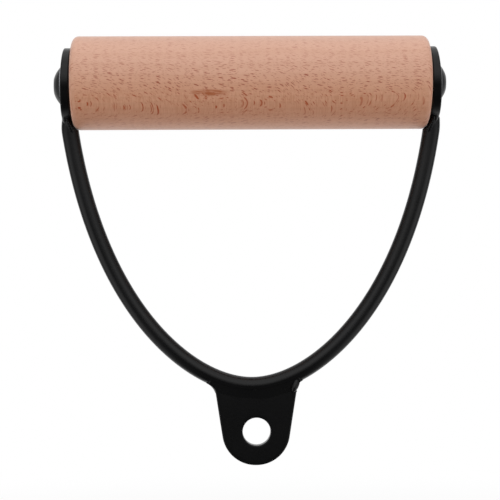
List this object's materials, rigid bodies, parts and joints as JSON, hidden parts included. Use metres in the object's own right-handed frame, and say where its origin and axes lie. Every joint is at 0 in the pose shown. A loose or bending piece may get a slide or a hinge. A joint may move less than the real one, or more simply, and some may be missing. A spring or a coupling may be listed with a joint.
{
  "type": "stirrup pull handle",
  "caption": "D-shaped pull handle: a turning beech grip between steel eyes on a bent rod bow, with a flat drilled lug for a carabiner.",
  "frame": {"origin": "centre of the lug's hole, in the middle of the lug's thickness", "axes": "+X along the grip to the right, +Z from the lug's hole up to the grip, +Y through the handle, away from the viewer"},
  "size_m": [0.1372, 0.0326, 0.1502],
  "materials": {
    "beech": "sanded bare beech with fine dark pores and small ray flecks",
    "black_coat": "satin black powder coat over welded steel",
    "black_screw": "black finished steel screw, satin",
    "plain_steel": "plain turned steel, hidden in the grip",
    "nylon": "natural nylon, hidden in the grip"
  },
  "bodies": {
    "handle_frame": {"bow": "black_coat", "eye_left": "black_coat", "eye_right": "black_coat", "eye_weld_left": "black_coat", "eye_weld_right": "black_coat", "lug": "black_coat", "lug_weld_front": "black_coat", "lug_weld_back": "black_coat", "axle": "plain_steel", "screw_left": "black_screw", "screw_right": "black_screw"},
    "grip_roll": {"grip": "beech", "bush_left": "nylon", "bush_right": "nylon"}
  },
  "joints": [
    {"name": "grip_spin", "type": "hinge", "parent": "handle_frame", "child": "grip_roll", "pos_m": [-0.0014, 0, 0.1222], "axis": [1, 0, 0], "continuous": true}
  ]
}
